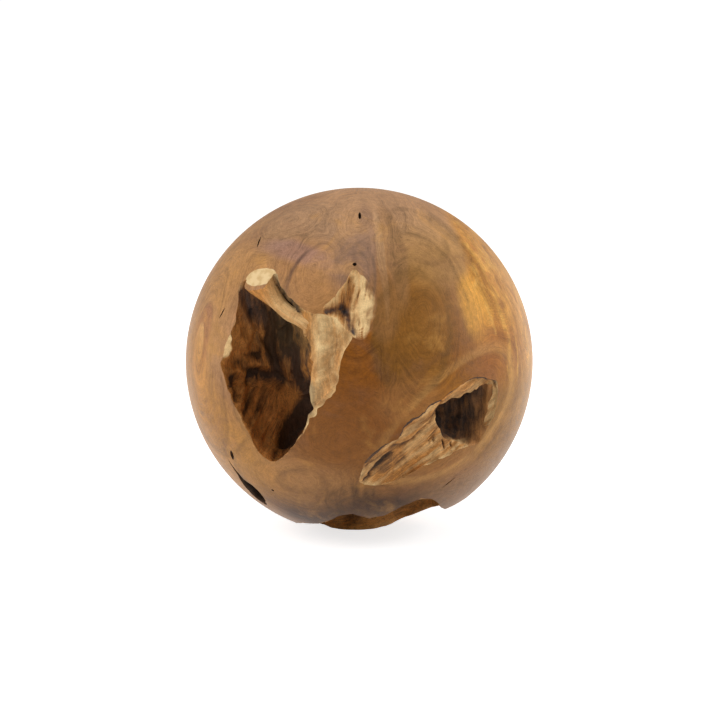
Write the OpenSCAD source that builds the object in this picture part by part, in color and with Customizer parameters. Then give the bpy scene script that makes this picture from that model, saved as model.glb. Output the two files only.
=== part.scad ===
// Root-wood ball: a turned and carved solid ball of root wood that stands on a
// small flat. The roots' own hollows break its skin: a great hollow with a
// bridge root across its mouth, a knot pocket, a trough that ends in a hole,
// a cave under the base, and a few checks and worm holes.
//
// Every hollow is drawn from the ball's skin inwards. Its mouth is an outline
// round a place on the skin (lon, lat), and its wall follows that outline down
// to the floor, fuller or slacker, as the hollow's own values say.

/* [Ball] */
// Diameter of the turned ball
ball_d = 300; // [285:5:330]
// Height of wood that the flat at the bottom takes off
flat_cut = 2; // [1:0.5:3]

/* [Great hollow] */
// Width of the mouth
great_w = 120; // [100:1:126]
// Height of the mouth
great_h = 156; // [140:1:168]
// Depth of the floor below the skin
great_deep = 76; // [60:1:85]
// How far the wing of sapwood stands in from the right rim
wing_reach = 33; // [20:1:36]
// Depth of the wing's face below the skin, beside the root
wing_deep = 10; // [8:0.5:14]

/* [Bridge root] */
// Thickness of the root at its waist
root_d = 13; // [10:0.5:16]
// Width of the sawn end, flush with the skin
root_end_w = 31; // [24:1:34]
// Depth of the root's middle line below the skin, at the waist
root_deep = 13; // [10:0.5:18]

/* [Knot pocket] */
// Width of the pocket
knot_w = 43; // [34:1:46]
// Height of the pocket
knot_h = 61; // [50:1:66]
// Depth of its valley below the skin
knot_deep = 15; // [8:0.5:20]

/* [Trough and hole] */
// Width of the trough, across its bounding box
trough_w = 118; // [100:1:122]
// Height of the trough
trough_h = 92; // [80:1:96]
// Depth of the trough's floor below the skin
trough_deep = 10; // [6:0.5:14]
// Width of the hole's mouth
hole_w = 57; // [44:1:60]
// Height of the hole's mouth
hole_h = 51; // [40:1:54]
// Depth of the hole below the skin
hole_deep = 56; // [36:1:66]

/* [Base cave] */
// Width of the cave's mouth
cave_w = 146; // [130:1:152]
// Length of the cave's mouth, front to back
cave_l = 145; // [126:1:150]
// Depth of the cave below the skin
cave_deep = 40; // [28:1:50]

/* [Checks and worm holes] */
// Length of the gash at the lower left
gash_l = 58; // [48:1:62]
// Width of the gash
gash_w = 19; // [14:0.5:24]
// Depth of the gash
gash_deep = 24; // [14:1:30]
// Length of the check on the left shoulder; the others are 0.8 to 1.1 times as long
check_l = 14; // [8:1:20]
// Width of the top check at its middle; the others are 0.5 to 1.6 times as wide
check_w = 2.6; // [1.5:0.1:4]
// Depth of the checks
check_deep = 8; // [5:1:14]
// Diameter of the worm hole above the knot pocket; the low one has 0.8 of it
worm_d = 3.6; // [2.5:0.1:5]
// Depth of the worm holes
worm_deep = 9; // [6:1:14]

/* [Walls] */
// Height of the flutes that run down the great hollow's wall
relief = 1.6; // [0:0.1:2.4]

/* [Hidden] */
$fn = 96;
ball_r = ball_d / 2;
ease = 8;                   // how far cutters stand out of the skin
lip = 1.8;                  // height above the skin at which a hollow's wall starts
soften = 22;                // degrees over which a wall's outline is rounded at the floor
slope_full = 1.6;           // how full the slope is that runs on from the wing's crest
slope_from = 0.9;           // share of the wing's reach at which that slope starts
wood = [0.62, 0.42, 0.23];

// Places on the skin: longitude to the right of the front, latitude upwards
GREAT_AT = [-26, 6];
KNOT_AT = [-3, 26];
TROUGH_AT = [26, -16];
HOLE_AT = [38.8, -10];
CAVE_AT = [20, -66];
GASH_AT = [-54, -43];

// Outlines of the mouths round their places, anticlockwise from the right
GREAT_MOUTH = [
    [50, 2], [51, 12], [53, 20], [58, 31], [44, 46], [32, 48], [24, 48], [16, 50],
    [7, 56], [-2, 61], [-11, 68], [-18, 78], [-23, 76], [-32, 73], [-42, 71],
    [-50, 70], [-55, 65], [-54, 60], [-50, 54], [-50, 46], [-49, 37], [-54, 24], [-60, 6],
    [-62, 1], [-57, -9], [-53, -18], [-47, -30], [-40, -43], [-32, -58], [-27, -70],
    [-23, -75], [-14, -78], [-5, -75], [4, -67], [12, -57], [18, -48], [25, -34],
    [30, -28], [40, -18], [47, -8]];
KNOT_MOUTH = [
    [21, 3], [20, 14], [14, 25], [7, 32], [3, 37], [-1, 34], [-4, 25], [-8, 19],
    [-13, 12], [-17, 8], [-22, 4], [-22, -2], [-11, -6], [-5, -14], [2, -22], [8, -24],
    [12, -24], [17, -17], [19, -8]];
TROUGH_MOUTH = [
    [57, 6], [61, 17], [61, 32], [60, 38], [50, 42], [33, 45], [21, 42], [4, 32],
    [-16, 20], [-30, 8], [-32, 0], [-41, -4], [-54, -19], [-57, -35], [-56, -45],
    [-48, -47], [-34, -45], [-26, -40], [-9, -27], [5, -20], [21, -15], [36, -12],
    [47, -4]];
HOLE_MOUTH = [
    [28, 6], [29, 16], [26, 24], [15, 23], [11, 18], [0, 16], [-11, 14], [-22, 10],
    [-28, 3], [-26, -7], [-21, -14], [-15, -21], [-5, -25], [14, -27], [20, -15],
    [25, -4]];
CAVE_MOUTH = [
    [72, 12], [62, 18], [50, 21], [40, 36], [24, 57], [14, 61], [-2, 52], [-11, 40],
    [-23, 33], [-31, 36], [-40, 38], [-47, 30], [-52, 14], [-57, -2], [-65, -26],
    [-61, -46], [-49, -67], [-38, -80], [-31, -84], [-27, -77], [-22, -66], [-17, -58],
    [-3, -53], [13, -53], [30, -60], [39, -63], [57, -58],
    [66, -52], [75, -40], [81, -23], [80, -2]];
GASH_MOUTH = [
    [10, 5], [6, 13], [0, 16], [-2, 22], [-8, 40], [-5, 22], [-8, 10], [-8, 0],
    [-9, -9], [-5, -16], [-2, -18], [4, -12], [9, -2]];

// The wing of sapwood along the right of the great hollow. At each bearing: the
// shares that it has of its reach and of its crest's depth, how many such depths
// it takes to fall away behind, and how far it runs on as a slope to the floor
WING = [
    [-60, 0, 0.5, 1.2, 0], [-45, 0.1, 0.5, 1.2, 0], [-25, 0.5, 0.7, 1.4, 0], [-5, 0.68, 0.9, 2.2, 0.4],
    [10, 0.8, 1, 2.6, 1], [36, 1, 0.9, 3.4, 1], [56, 0.6, 0.6, 3, 1], [78, 0, 0.5, 3, 0.5],
    [110, 0, 0.5, 3, 0]];

// Middle line of the bridge root: place in the great hollow's outline, share of
// its depth below the skin, width and thickness in waist diameters, and twist of
// its section. It crosses the mouth and dives into the wing. A width of 0 stands
// for the sawn end's.
ROOT = [
    [-38, 85, -1.1, 0, 1.1, 0], [-35, 74.5, -0.1, 0, 1.1, 0], [-30, 66, 0.5, 1.8, 1.1, 10],
    [-23, 59, 0.8, 1.3, 1.1, 10], [-14, 52, 1, 1, 1, 0], [-4, 47, 1.05, 1, 1, 0],
    [7, 43, 1, 1, 1, 0], [18, 39, 0.95, 1.15, 1.1, 0], [27, 33, 0.95, 1.5, 1.1, 0],
    [36, 24, 1.2, 1.9, 1.1, 0], [44, 14, 1.8, 1.5, 0.9, 0]];

// ---- Helpers: outlines, walls and sweeps ----

function span(pts, axis) = max([for (p = pts) p[axis]]) - min([for (p = pts) p[axis]]);

// An outline brought to a width and a height about its own place
function sized(pts, w, h) =
    let (sx = w / span(pts, 0), sy = h / span(pts, 1)) [for (p = pts) [p.x * sx, p.y * sy]];

// Bearing of a point, from 0 to 360 degrees
function bearing(p) = (atan2(p.y, p.x) + 360) % 360;

// The outline as a table of radius against bearing, a turn to spare either way
function rim_table(pts) =
    [for (turn = [-360, 0, 360]) for (p = pts) [bearing(p) + turn, norm(p)]];

// Radius of the rim at a bearing, softened over an arc of so many degrees
function rim(table, a, soft = 0) =
    (lookup(a - soft, table) + 2 * lookup(a, table) + lookup(a + soft, table)) / 4;

// Height of the ball's skin over the plane through its middle, in a local frame
function skin(x, y) = sqrt(max(ball_r * ball_r - x * x - y * y, 1));

// Depths of the rings of a wall, as shares of the full depth, close together
// at the rim and at the floor
function ring_shares(rings) = [for (i = [0 : rings - 1]) (1 - cos(180 * i / rings)) / 2];

// A column of the wing's table at a bearing
function wing_share(a, column = 1) =
    lookup(a > 180 ? a - 360 : a, [for (w = WING) [w[0], w[column]]]);

function clamp(u) = min(max(u, 0), 1);

function smooth(u) = let (v = clamp(u)) v * v * (3 - 2 * v);

// How far the wing stands in at u times its crest's depth: a dish, then a crest
// that rolls over, then its fall
function wing_stand(u, fall) =
    (0.2 * clamp(u) + 0.58 * smooth((u - 0.4) / 0.6) + 0.22 * (1 - pow(1 - clamp((u - 1) / 0.9), 2)))
    * (1 - smooth((u - 1.9) / fall));

// Faces of a closed tube of rings, in triangles. The middles of its first and
// last ring are the last two points.
function tube_faces(rings, sides) =
    let (last = (rings - 1) * sides, middle = rings * sides, next = function(j) (j + 1) % sides)
    concat(
        [for (j = [0 : sides - 1]) [middle, next(j), j]],
        [for (i = [0 : sides : last - sides]) for (j = [0 : sides - 1])
            [i + j, i + next(j), i + sides + j]],
        [for (i = [0 : sides : last - sides]) for (j = [0 : sides - 1])
            [i + next(j), i + sides + next(j), i + sides + j]],
        [for (j = [0 : sides - 1]) [middle + 1, last + j, last + next(j)]]);

// Moves its children to a place on the skin, with +z outwards and +y uphill
module place(at) {
    rotate([90 - at[1], 0, at[0]])
        children();
}

// Cutter for a hollow. Its wall follows the mouth down to the floor: full is
// how square the wall is, slack is how much slacker it is uphill, fan is how
// gently it starts on the right, lean moves the floor sideways by a share of its
// depth, and flutes run down the wall, rough times as high as the named relief.
module hollow(mouth, deep, lean = [0, 0], full = 2.4, slack = 0, fan = 0, wing = 0,
              rough = 0, flutes = 9, twist = 60, rings = 14, sides = 56) {
    table = rim_table(mouth);
    function power(a) = full - slack * max(0, sin(a));
    function spread(a) = 1 + fan * max(0, cos(a));
    function flute(a, t) =
        rough * relief * (1 - (wing > 0 ? wing_share(a) : 0)) * sin(flutes * a + twist * t)
        * sin(180 * sqrt(t)) * (0.7 + 0.3 * sin(2 * a));
    function plain(a, t) =
        rim(table, a, soften * sqrt(t)) * pow(1 - pow(t, power(a)), spread(a) / power(a));
    function winged(a, t) =
        let (crest = wing_deep * wing_share(a, 2), z = t * deep, w = clamp((z - crest) / (deep - crest)),
             r = plain(a, t) - wing * wing_share(a) * wing_stand(z / crest, wing_share(a, 3)),
             slope = (rim(table, a, soften / 2) - slope_from * wing * wing_share(a))
                 * pow(1 - pow(w, slope_full), 1 / slope_full))
        r + wing_share(a, 4) * smooth(z / wing_deep) * (min(r, slope) - r);
    function wall(a, t) = (wing > 0 ? winged(a, t) : plain(a, t)) + flute(a, t);
    function wall_point(a, z) =
        let (t = max(z, 0) / deep, r = wall(a, t), x = lean.x * deep * t + r * cos(a),
             y = lean.y * deep * t + r * sin(a))
        [x, y, skin(x, y) - z];
    step = 360 / sides;
    top = [for (a = [0 : step : 359.9]) let (r = rim(table, a)) [r * cos(a), r * sin(a), ball_r + ease]];
    walls = [for (t = ring_shares(rings)) for (a = [0 : step : 359.9])
        wall_point(a, (deep + lip) * t - lip)];
    floor_at = lean * deep;
    middles = [[0, 0, ball_r + ease], [floor_at.x, floor_at.y, skin(floor_at.x, floor_at.y) - deep]];
    polyhedron(concat(top, walls, middles), tube_faces(rings + 1, sides), convexity = 10);
}

// A lens outline with pointed ends, as long and as wide as asked
module lens(length, width) {
    r = (length * length / width + width) / 4;
    intersection() {
        translate([r - width / 2, 0])
            circle(r, $fn = 64);
        translate([width / 2 - r, 0])
            circle(r, $fn = 64);
    }
}

// Cutter for a drying check: a lens-shaped slot, turned from straight up
module check(at, turn, length, width, deep) {
    place(at)
        rotate([0, 0, turn])
            translate([0, 0, ball_r - deep])
                linear_extrude(deep + ease)
                    lens(length, width);
}

// Cutter for a worm hole
module worm(at, d, deep) {
    place(at)
        translate([0, 0, ball_r - deep])
            cylinder(h = deep + ease, d = d);
}

// ---- The bridge root ----

// A value between four stations, on a smooth curve through the middle two
function between(a, b, c, d, t) =
    0.5 * (2 * b + (c - a) * t + (2 * a - 5 * b + 4 * c - d) * t * t
        + (3 * b - a - 3 * c + d) * t * t * t);

// The root's stations in millimetres: middle, half width and half thickness
function root_station(s) =
    let (x = s[0] * great_w / span(GREAT_MOUTH, 0), y = s[1] * great_h / span(GREAT_MOUTH, 1),
         wide = s[3] == 0 ? root_end_w : s[3] * root_d)
    [x, y, skin(x, y) - s[2] * root_deep, wide / 2, s[4] * root_d / 2, s[5]];

module bridge_root(per_station = 2, sides = 18) {
    stations = [for (s = ROOT) root_station(s)];
    last = len(stations) - 1;
    line = [for (i = [0 : last - 1]) for (k = [0 : per_station - 1])
        between(stations[max(i - 1, 0)], stations[i], stations[i + 1], stations[min(i + 2, last)],
                k / per_station)];
    n = len(line);
    function heading(i) =
        let (a = line[max(i - 1, 0)], b = line[min(i + 1, n - 1)], v = [for (k = [0 : 2]) b[k] - a[k]])
        v / norm(v);
    function ring(i) =
        let (s = line[i], h = heading(i), level = cross(h, [0, 0, 1]), side = level / norm(level),
             up = cross(side, h), wide = side * cos(s[5]) + up * sin(s[5]),
             thick = up * cos(s[5]) - side * sin(s[5]))
        [for (j = [0 : sides - 1]) let (a = j * 360 / sides, k = 1 + 0.06 * sin(3 * a + 14 * i))
            [s[0], s[1], s[2]] + wide * s[3] * k * cos(a) + thick * s[4] * k * sin(a)];
    function middle(i) = [for (k = [0 : 2]) line[i][k]];
    polyhedron(concat([for (i = [0 : n - 1]) each ring(i)], [middle(0), middle(n - 1)]),
               tube_faces(n, sides), convexity = 6);
}

// ---- The hollows ----

module great_hollow() {
    place(GREAT_AT)
        difference() {
            hollow(sized(GREAT_MOUTH, great_w, great_h), great_deep, lean = [-0.3, -0.37], full = 2.6,
                   slack = 0.9, wing = wing_reach, rough = 1, flutes = 11, rings = 22, sides = 84);
            bridge_root();
        }
}

module knot_pocket() {
    place(KNOT_AT)
        hollow(sized(KNOT_MOUTH, knot_w, knot_h), knot_deep, lean = [-0.47, 0.13], full = 1.2,
               fan = 3, rough = 0.45, flutes = 7, rings = 9, sides = 44);
}

module trough() {
    place(TROUGH_AT)
        hollow(sized(TROUGH_MOUTH, trough_w, trough_h), trough_deep, lean = [0.8, 0.6], full = 2.8,
               rough = 0.45, flutes = 8, rings = 7, sides = 56);
}

module trough_hole() {
    place(HOLE_AT)
        hollow(sized(HOLE_MOUTH, hole_w, hole_h), hole_deep, lean = [-0.11, 0.04], full = 2.6,
               rough = 0.6, flutes = 7, rings = 12, sides = 40);
}

module base_cave() {
    place(CAVE_AT)
        hollow(sized(CAVE_MOUTH, cave_w, cave_l), cave_deep, lean = [0.1, -0.15], full = 2.2,
               rough = 0.9, flutes = 9, rings = 10, sides = 60);
}

module gash() {
    place(GASH_AT)
        hollow(sized(GASH_MOUTH, gash_w, gash_l), gash_deep, lean = [0.08, 0.08], full = 2.2,
               rings = 7, sides = 28);
}

module checks() {
    check([0.4, 64], 0, check_l * 0.8, check_w, check_deep);
    check([-57, 48], 35, check_l, check_w * 0.7, check_deep);
    check([-55, 21.5], -20, check_l * 0.8, check_w * 0.6, check_deep);
    check([-52.5, -26], -20, check_l * 0.8, check_w * 1.6, check_deep);
    check([37.6, -35], -40, check_l * 1.1, check_w * 0.5, check_deep);
    worm([-1.9, 42], worm_d, worm_deep);
    worm([-38.3, -38.7], worm_d * 0.8, worm_deep);
}

// ---- The piece ----

// The turned ball, with the flat it stands on
module blank() {
    difference() {
        rotate([0, 0, 90])
            sphere(ball_r);
        translate([-ball_r, -ball_r, -ball_d])
            cube([ball_d, ball_d, ball_r + flat_cut]);
    }
}

module ball() {
    color(wood)
        translate([0, 0, ball_r - flat_cut])
            difference() {
                blank();
                union() {
                    great_hollow();
                    knot_pocket();
                    trough();
                    trough_hole();
                    base_cave();
                    gash();
                    checks();
                }
            }
}

ball();
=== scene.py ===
# %% [markdown]
# # A root-wood ball, carved and finished
#
# The ball is one solid piece: a block from a tree's root, turned round and
# carved where the wood had rotted. Each cell below makes one thing and prints
# what it made. The shapes come first (the ball, its hollows, the bridge root),
# then the wood, then the room round it. Sizes are in millimetres until a mesh
# is made, and in metres after that.

import math

import bpy
import numpy as np
from mathutils import Matrix


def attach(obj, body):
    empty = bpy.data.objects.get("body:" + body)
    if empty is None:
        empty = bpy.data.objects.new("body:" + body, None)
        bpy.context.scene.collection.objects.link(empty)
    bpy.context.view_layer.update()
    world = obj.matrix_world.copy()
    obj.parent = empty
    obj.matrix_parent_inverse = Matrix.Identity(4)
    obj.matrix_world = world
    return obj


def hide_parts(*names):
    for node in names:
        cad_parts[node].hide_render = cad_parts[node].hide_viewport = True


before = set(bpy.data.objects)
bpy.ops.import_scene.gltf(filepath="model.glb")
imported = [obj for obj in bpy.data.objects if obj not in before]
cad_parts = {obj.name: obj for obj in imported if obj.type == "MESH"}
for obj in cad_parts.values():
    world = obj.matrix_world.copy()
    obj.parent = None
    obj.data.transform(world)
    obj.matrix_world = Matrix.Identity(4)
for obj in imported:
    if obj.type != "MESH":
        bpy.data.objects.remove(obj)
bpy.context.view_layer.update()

# %% [markdown]
# ## The ball's own frame
#
# Everything here lies on a round skin, so a place is given as on a globe: a
# longitude (to the right of the front) and a latitude (upwards). There, `x`
# runs right, `y` uphill and `z` outwards. A hollow is then drawn as on a flat
# board, and its axes turn it into place. The ball's middle is `CENTRE_Z` over
# the floor.

# %% The ball's sizes, and the axes at a place on it
MM = 0.001
BALL_R = 150.0
FLAT_CUT = 2.0  # what the flat takes off the ball
CENTRE_Z = BALL_R - FLAT_CUT
EASE = 8.0  # how far a cutter stands out of the ball


def axes(lon, lat):
    """Columns right, uphill and outward at a place:
    right = (cos lon, sin lon, 0), outward = (sin lon cos lat, -cos lon cos lat, sin lat)."""
    lon, lat = math.radians(lon), math.radians(lat)
    right = (math.cos(lon), math.sin(lon), 0.0)
    uphill = (-math.sin(lon) * math.sin(lat), math.cos(lon) * math.sin(lat), math.cos(lat))
    outward = (math.sin(lon) * math.cos(lat), -math.cos(lon) * math.cos(lat), math.sin(lat))
    return np.array([right, uphill, outward]).T


def skin(x, y):
    """Height of the skin over the plane through the middle: sqrt(R^2 - x^2 - y^2)."""
    return np.sqrt(np.maximum(BALL_R**2 - x**2 - y**2, 1.0))


def stacked(x, y, z):
    """Three numbers or arrays as one array of points."""
    return np.stack(np.broadcast_arrays(x, y, z), axis=-1)


def unit(vectors):
    """Each vector over its length."""
    return vectors / np.maximum(np.linalg.norm(vectors, axis=-1, keepdims=True), 1e-12)


print("a ball of", 2 * BALL_R, "mm, its middle", CENTRE_Z, "mm up")

# %% [markdown]
# ## Lines drawn in the front view
#
# Cracks, ribs and worn edges run as lines over broken walls. Drawn on the walls
# themselves they would need a map of each. It is simpler to draw them as they
# are seen from the front: `front` gives a point's place in that view, and
# `groove` is a soft line there.

# %% The front view and soft lines
LEAN = math.radians(10)  # how far above level the view is
FAR_OFF = 2400.0


def front(p):
    """Where a point is seen from the front, 10 degrees above level and 2.4 m away:
    u = x d / w and v = (y sin + z cos) d / w, with w the distance along the sight."""
    x, y, z = np.moveaxis(np.asarray(p), -1, 0)
    scale = FAR_OFF / (FAR_OFF + y * math.cos(LEAN) - z * math.sin(LEAN))
    return x * scale, (y * math.sin(LEAN) + z * math.cos(LEAN)) * scale


def near(u, v, line):
    """Distance of (u, v) from a line through points: the least over its stretches of
    |q - a - h (b - a)| with h = (q - a).(b - a) / |b - a|^2 kept from 0 to 1."""
    line = np.array(line, float)
    best = np.full(np.broadcast(u, v).shape, 1e9)
    for a, b in zip(line[:-1], line[1:]):
        d = b - a
        h = np.clip(((u - a[0]) * d[0] + (v - a[1]) * d[1]) / (d @ d), 0, 1)
        best = np.minimum(best, np.hypot(u - a[0] - h * d[0], v - a[1] - h * d[1]))
    return best


def smooth(u):
    """Smooth step: 3u^2 - 2u^3, with u kept from 0 to 1."""
    u = np.clip(u, 0.0, 1.0)
    return u * u * (3 - 2 * u)


def bump(u):
    """Smooth hump: (1 - u^2)^2 for |u| < 1, else 0."""
    return np.clip(1 - np.square(u), 0.0, None) ** 2


def groove(u, v, line, wide):
    """1 on a line, falling off as exp(-(d / wide)^2)."""
    return np.exp(-(near(u, v, line) / wide) ** 2)


def grooves(u, v, rows):
    """The sum of soft lines, each times its height."""
    return sum(high * groove(u, v, line, wide) for high, wide, line in rows)


def off(a, bearing):
    """Degrees from a bearing, between -180 and 180."""
    return (a - bearing + 180) % 360 - 180


print("the middle is seen at", [round(float(w), 3) for w in front((0, 0, 0))])

# %% [markdown]
# ## Roughness of old wood
#
# Rotten and worn wood is uneven at every scale: lumps, ribs of harder grain,
# splinters. A Displace modifier could add this after the carving, but it would
# blur the rims and wouldn't follow the grain. So a wall gets its roughness
# while it is made. `noise` is value noise on a seeded lattice, and `rough` adds
# octaves of it, each twice as fine and half as high.

# %% Value noise
LATTICE = np.random.default_rng(5).uniform(-1, 1, (32, 32, 32))


def noise(p):
    """n(p) = sum over the cell's 8 corners of value * weight, where the weight
    along each axis is 3f^2 - 2f^3 or one minus that."""
    cell = np.floor(p).astype(int)
    f = p - cell
    f = f * f * (3 - 2 * f)
    total = 0.0
    for corner in np.ndindex(2, 2, 2):
        weight = np.prod(np.where(np.array(corner) == 1, f, 1 - f), axis=-1)
        i, j, k = np.moveaxis((cell + np.array(corner)) % 32, -1, 0)
        total = total + weight * LATTICE[i, j, k]
    return total


def rough(p, octaves=3):
    """n(p) + n(2p)/2 + n(4p)/4 + ..."""
    return sum(noise(p * 2**k + 7.3 * k) / 2**k for k in range(octaves))


def spot(x, y, z, size):
    """The points (x, y, z) over a size, ready for noise()."""
    return stacked(x, y, z) / size


def grain(x, y, size, shift=0.0, z=0.0):
    """noise() in lumps of a size. A coordinate divided by 9 draws them out nine times."""
    return noise(spot(x, y, z, size) + shift)


print("lattice mean", round(float(LATTICE.mean()), 4))

# %% [markdown]
# ## Outlines of the mouths
#
# Rot and gouge open the skin by ragged mouths. A mouth could be a Bezier curve,
# but a short list of places is easy to bring to a size and to average. The
# places are in millimetres round the hollow's own place, anticlockwise from the
# right.

# %% The great hollow's mouth
GREAT_AT, KNOT_AT, TROUGH_AT = (-26, 6), (-3, 26), (26, -16)
HOLE_AT, CAVE_AT, GASH_AT = (38.8, -10), (20, -66), (-54, -43)

GREAT = np.array([
    (50, 2), (51, 12), (53, 20), (58, 31), (44, 46), (32, 48), (24, 48), (16, 50),
    (7, 56), (-2, 61), (-11, 68), (-18, 78), (-23, 76), (-32, 73), (-42, 71),
    (-50, 70), (-55, 65), (-54, 60), (-50, 54), (-50, 46), (-49, 37), (-54, 24), (-60, 6),
    (-62, 1), (-57, -9), (-53, -18), (-47, -30), (-40, -43), (-32, -58), (-27, -70),
    (-23, -75), (-14, -78), (-5, -75), (4, -67), (12, -57), (18, -48), (25, -34),
    (30, -28), (40, -18), (47, -8)], float)


def sized(outline, width, height):
    """The outline brought to a width and a height about its own place."""
    return outline * (np.array([width, height]) / np.ptp(outline, axis=0))


def rim(outline, a, soft=0.0):
    """Radius of the outline at a bearing, averaged over an arc:
    (r(a - soft) + 2 r(a) + r(a + soft)) / 4."""
    bearing = np.degrees(np.arctan2(outline[:, 1], outline[:, 0]))
    radius = np.hypot(outline[:, 0], outline[:, 1])

    def at(q):
        return np.interp(q, bearing, radius, period=360)

    return (at(a - soft) + 2 * at(a) + at(a + soft)) / 4


print("great mouth", np.ptp(GREAT, axis=0), "mm, to the right", round(float(rim(GREAT, 0.0)), 1))

# %% The other five mouths
KNOT = np.array([
    (21, 3), (20, 14), (14, 25), (7, 32), (3, 37), (-1, 34), (-4, 25), (-8, 19),
    (-13, 12), (-17, 8), (-22, 4), (-22, -2), (-11, -6), (-5, -14), (2, -22), (8, -24),
    (12, -24), (17, -17), (19, -8)], float)
TROUGH = np.array([
    (57, 6), (61, 17), (61, 32), (60, 38), (50, 42), (33, 45), (21, 42), (4, 32),
    (-16, 20), (-30, 8), (-32, 0), (-41, -4), (-54, -19), (-57, -35), (-56, -45),
    (-48, -47), (-34, -45), (-26, -40), (-9, -27), (5, -20), (21, -15), (36, -12),
    (47, -4)], float)
HOLE = np.array([
    (28, 6), (29, 16), (26, 24), (15, 23), (11, 18), (0, 16), (-11, 14), (-22, 10),
    (-28, 3), (-26, -7), (-21, -14), (-15, -21), (-5, -25), (14, -27), (20, -15),
    (25, -4)], float)
CAVE = np.array([
    (72, 12), (62, 18), (50, 21), (40, 36), (24, 57), (14, 61), (-2, 52), (-11, 40),
    (-23, 33), (-31, 36), (-40, 38), (-47, 30), (-52, 14), (-57, -2), (-65, -26),
    (-61, -46), (-49, -67), (-38, -80), (-31, -84), (-27, -77), (-22, -66), (-17, -58),
    (-3, -53), (13, -53), (30, -60), (39, -63), (57, -58),
    (66, -52), (75, -40), (81, -23), (80, -2)], float)
GASH = np.array([
    (10, 5), (6, 13), (0, 16), (-2, 22), (-8, 40), (-5, 22), (-8, 10), (-8, 0),
    (-9, -9), (-5, -16), (-2, -18), (4, -12), (9, -2)], float)

print("mouths:", {k: np.ptp(v, axis=0).tolist() for k, v in dict(
    knot=KNOT, trough=TROUGH, hole=HOLE, cave=CAVE, gash=GASH).items()})

# %% [markdown]
# ## From rings of points to closed meshes
#
# The ball was turned, and every hollow in it narrows as it goes down. All of
# them are rings of points, so one function makes them all, and closes each end
# with a middle point. A sculpted mesh would be freer, but it couldn't be worked
# out again for another size. Numbers that the wood needs later ride along at
# the corners of the faces: `inner` (0 on the skin, 1 on a wall), `pale`
# (sapwood, with a painted highlight on the wing's crest), `gloom` (painted
# shade: darker with depth, in creases and behind the root, with some darker
# grain), `red`, `olive` and `slate` (tints of old walls), and `fibre` (where
# the grain is read).

# %% A mesh from rings
FIELDS = ("inner", "pale", "gloom", "red", "olive", "slate")


def tube(name, rings, ends, fields, fibre):
    """A closed mesh from rings[i, j] (millimetres in the ball's own frame) and
    two end points. Quads join ring i to ring i + 1, triangles close the ends."""
    n, m = rings.shape[:2]
    points = np.concatenate([rings.reshape(-1, 3), np.asarray(ends, float)])
    points = (points + np.array([0, 0, CENTRE_Z])) * MM
    j = np.arange(m)
    step = np.roll(j, -1)
    row = (np.arange(n - 1) * m)[:, None]
    quads = np.stack([row + j, row + step, row + m + step, row + m + j], axis=-1)
    first = np.stack([np.full(m, n * m), step, j], axis=-1)
    last = np.stack([np.full(m, n * m + 1), (n - 1) * m + j, (n - 1) * m + step], axis=-1)
    corners = np.concatenate([quads.ravel(), first.ravel(), last.ravel()])
    sizes = np.concatenate([np.full((n - 1) * m, 4), np.full(2 * m, 3)])
    starts = np.concatenate([[0], np.cumsum(sizes)[:-1]])
    mesh = bpy.data.meshes.new(name)
    mesh.vertices.add(len(points))
    mesh.vertices.foreach_set("co", points.ravel())
    mesh.loops.add(len(corners))
    mesh.loops.foreach_set("vertex_index", corners.astype(np.int32))
    mesh.polygons.add(len(sizes))
    mesh.polygons.foreach_set("loop_start", starts.astype(np.int32))
    mesh.update(calc_edges=True)
    for field in FIELDS:
        value = np.broadcast_to(fields.get(field, 0.0), (n, m)).ravel()
        value = np.concatenate([value, value[:1], value[-1:]]).astype(np.float32)
        ride = mesh.attributes.new(field, "FLOAT", "CORNER")
        ride.data.foreach_set("value", value[corners])
    flow = np.concatenate([fibre.reshape(-1, 3), fibre[0, :1], fibre[-1, :1]]).astype(np.float32)
    ride = mesh.attributes.new("fibre", "FLOAT_VECTOR", "CORNER")
    ride.data.foreach_set("vector", flow[corners].ravel())
    piece = bpy.data.objects.new(name, mesh)
    bpy.context.collection.objects.link(piece)
    return piece


print("riding along:", *FIELDS, "fibre")

# %% The turned ball
TOP = math.radians(89.4)  # latitude of the last ring


def read(items, name, width=1, kind=float):
    """One property of every item, as an array with a row for each."""
    values = np.empty(len(items) * width, kind)
    items.foreach_get(name, values)
    return values.reshape(-1, width) if width > 1 else values


def volume(mesh):
    """Signed volume in litres: the sum over triangles of a . (b x c) / 6."""
    mesh.calc_loop_triangles()
    tri = read(mesh.loop_triangles, "vertices", 3, np.int32)
    a, b, c = np.moveaxis(read(mesh.vertices, "co", 3)[tri], 1, 0)
    return float((a * np.cross(b, c)).sum() / 6 * 1000)


def told(piece):
    """Prints a piece's size and gives the piece back."""
    print(piece.name, len(piece.data.vertices), "vertices,", round(volume(piece.data), 4), "litres")
    return piece


def make_ball(rings, sides):
    """The turned ball with its flat, in rings from the flat to the top:
    point = R (cos lat cos a, cos lat sin a, sin lat)."""
    lat = np.linspace(math.asin(-CENTRE_Z / BALL_R), TOP, rings)[:, None]
    a = np.radians(np.arange(sides) * 360 / sides)[None, :]
    grid = BALL_R * stacked(np.cos(lat) * np.cos(a), np.cos(lat) * np.sin(a), np.sin(lat))
    return tube("ball_wood", grid, [(0, 0, -CENTRE_Z), (0, 0, BALL_R)], {}, grid / 10)


ball = told(make_ball(100, 200))

# %% [markdown]
# ## The wing of sapwood
#
# The pale outer wood of the root didn't rot. It stands in the great hollow's
# right side as a wing: it dishes in under the rim, rolls over a crest and falls
# away to the floor. It could be a piece of its own, joined by a Boolean, but
# then its root would show a seam. So it is part of the hollow's wall, and a
# table says how far it reaches at each bearing.

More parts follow.
